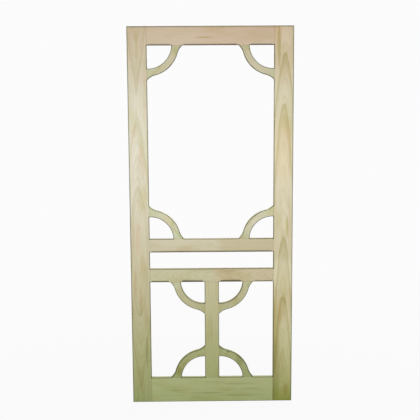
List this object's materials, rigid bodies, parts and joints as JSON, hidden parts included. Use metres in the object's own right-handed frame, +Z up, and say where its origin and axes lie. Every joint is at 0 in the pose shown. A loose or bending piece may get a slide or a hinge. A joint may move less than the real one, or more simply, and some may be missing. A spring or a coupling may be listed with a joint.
{
  "type": "wooden screen door",
  "caption": "Tall flat softwood screen door leaf: stile-and-rail frame with arched corner brackets, a narrow slot between middle rails and a bracketed centre mullion below.",
  "frame": {"origin": "on the hinge edge, at the foot of the door and in the middle of its thickness", "axes": "+X from the hinge edge to the latch edge, -Y is the front, +Z up"},
  "size_m": [0.914, 0.0286, 2.134],
  "materials": {
    "hinge_stile": "unfinished sanded pine",
    "latch_stile": "unfinished sanded pine",
    "top_rail": "unfinished sanded pine",
    "upper_middle_rail": "unfinished sanded pine",
    "lower_middle_rail": "unfinished sanded pine",
    "bottom_rail": "unfinished sanded pine",
    "centre_mullion": "unfinished sanded pine",
    "upper_bracket_top_left": "unfinished sanded pine",
    "upper_bracket_top_right": "unfinished sanded pine",
    "upper_bracket_bottom_left": "unfinished sanded pine",
    "upper_bracket_bottom_right": "unfinished sanded pine",
    "lower_bracket_top_left": "unfinished sanded pine",
    "lower_bracket_top_right": "unfinished sanded pine",
    "lower_bracket_bottom_left": "unfinished sanded pine",
    "lower_bracket_bottom_right": "unfinished sanded pine"
  },
  "bodies": {
    "root": {"hinge_stile": "hinge_stile", "latch_stile": "latch_stile", "top_rail": "top_rail", "upper_middle_rail": "upper_middle_rail", "lower_middle_rail": "lower_middle_rail", "bottom_rail": "bottom_rail", "centre_mullion": "centre_mullion", "upper_bracket_top_left": "upper_bracket_top_left", "upper_bracket_top_right": "upper_bracket_top_right", "upper_bracket_bottom_left": "upper_bracket_bottom_left", "upper_bracket_bottom_right": "upper_bracket_bottom_right", "lower_bracket_top_left": "lower_bracket_top_left", "lower_bracket_top_right": "lower_bracket_top_right", "lower_bracket_bottom_left": "lower_bracket_bottom_left", "lower_bracket_bottom_right": "lower_bracket_bottom_right"}
  },
  "joints": []
}
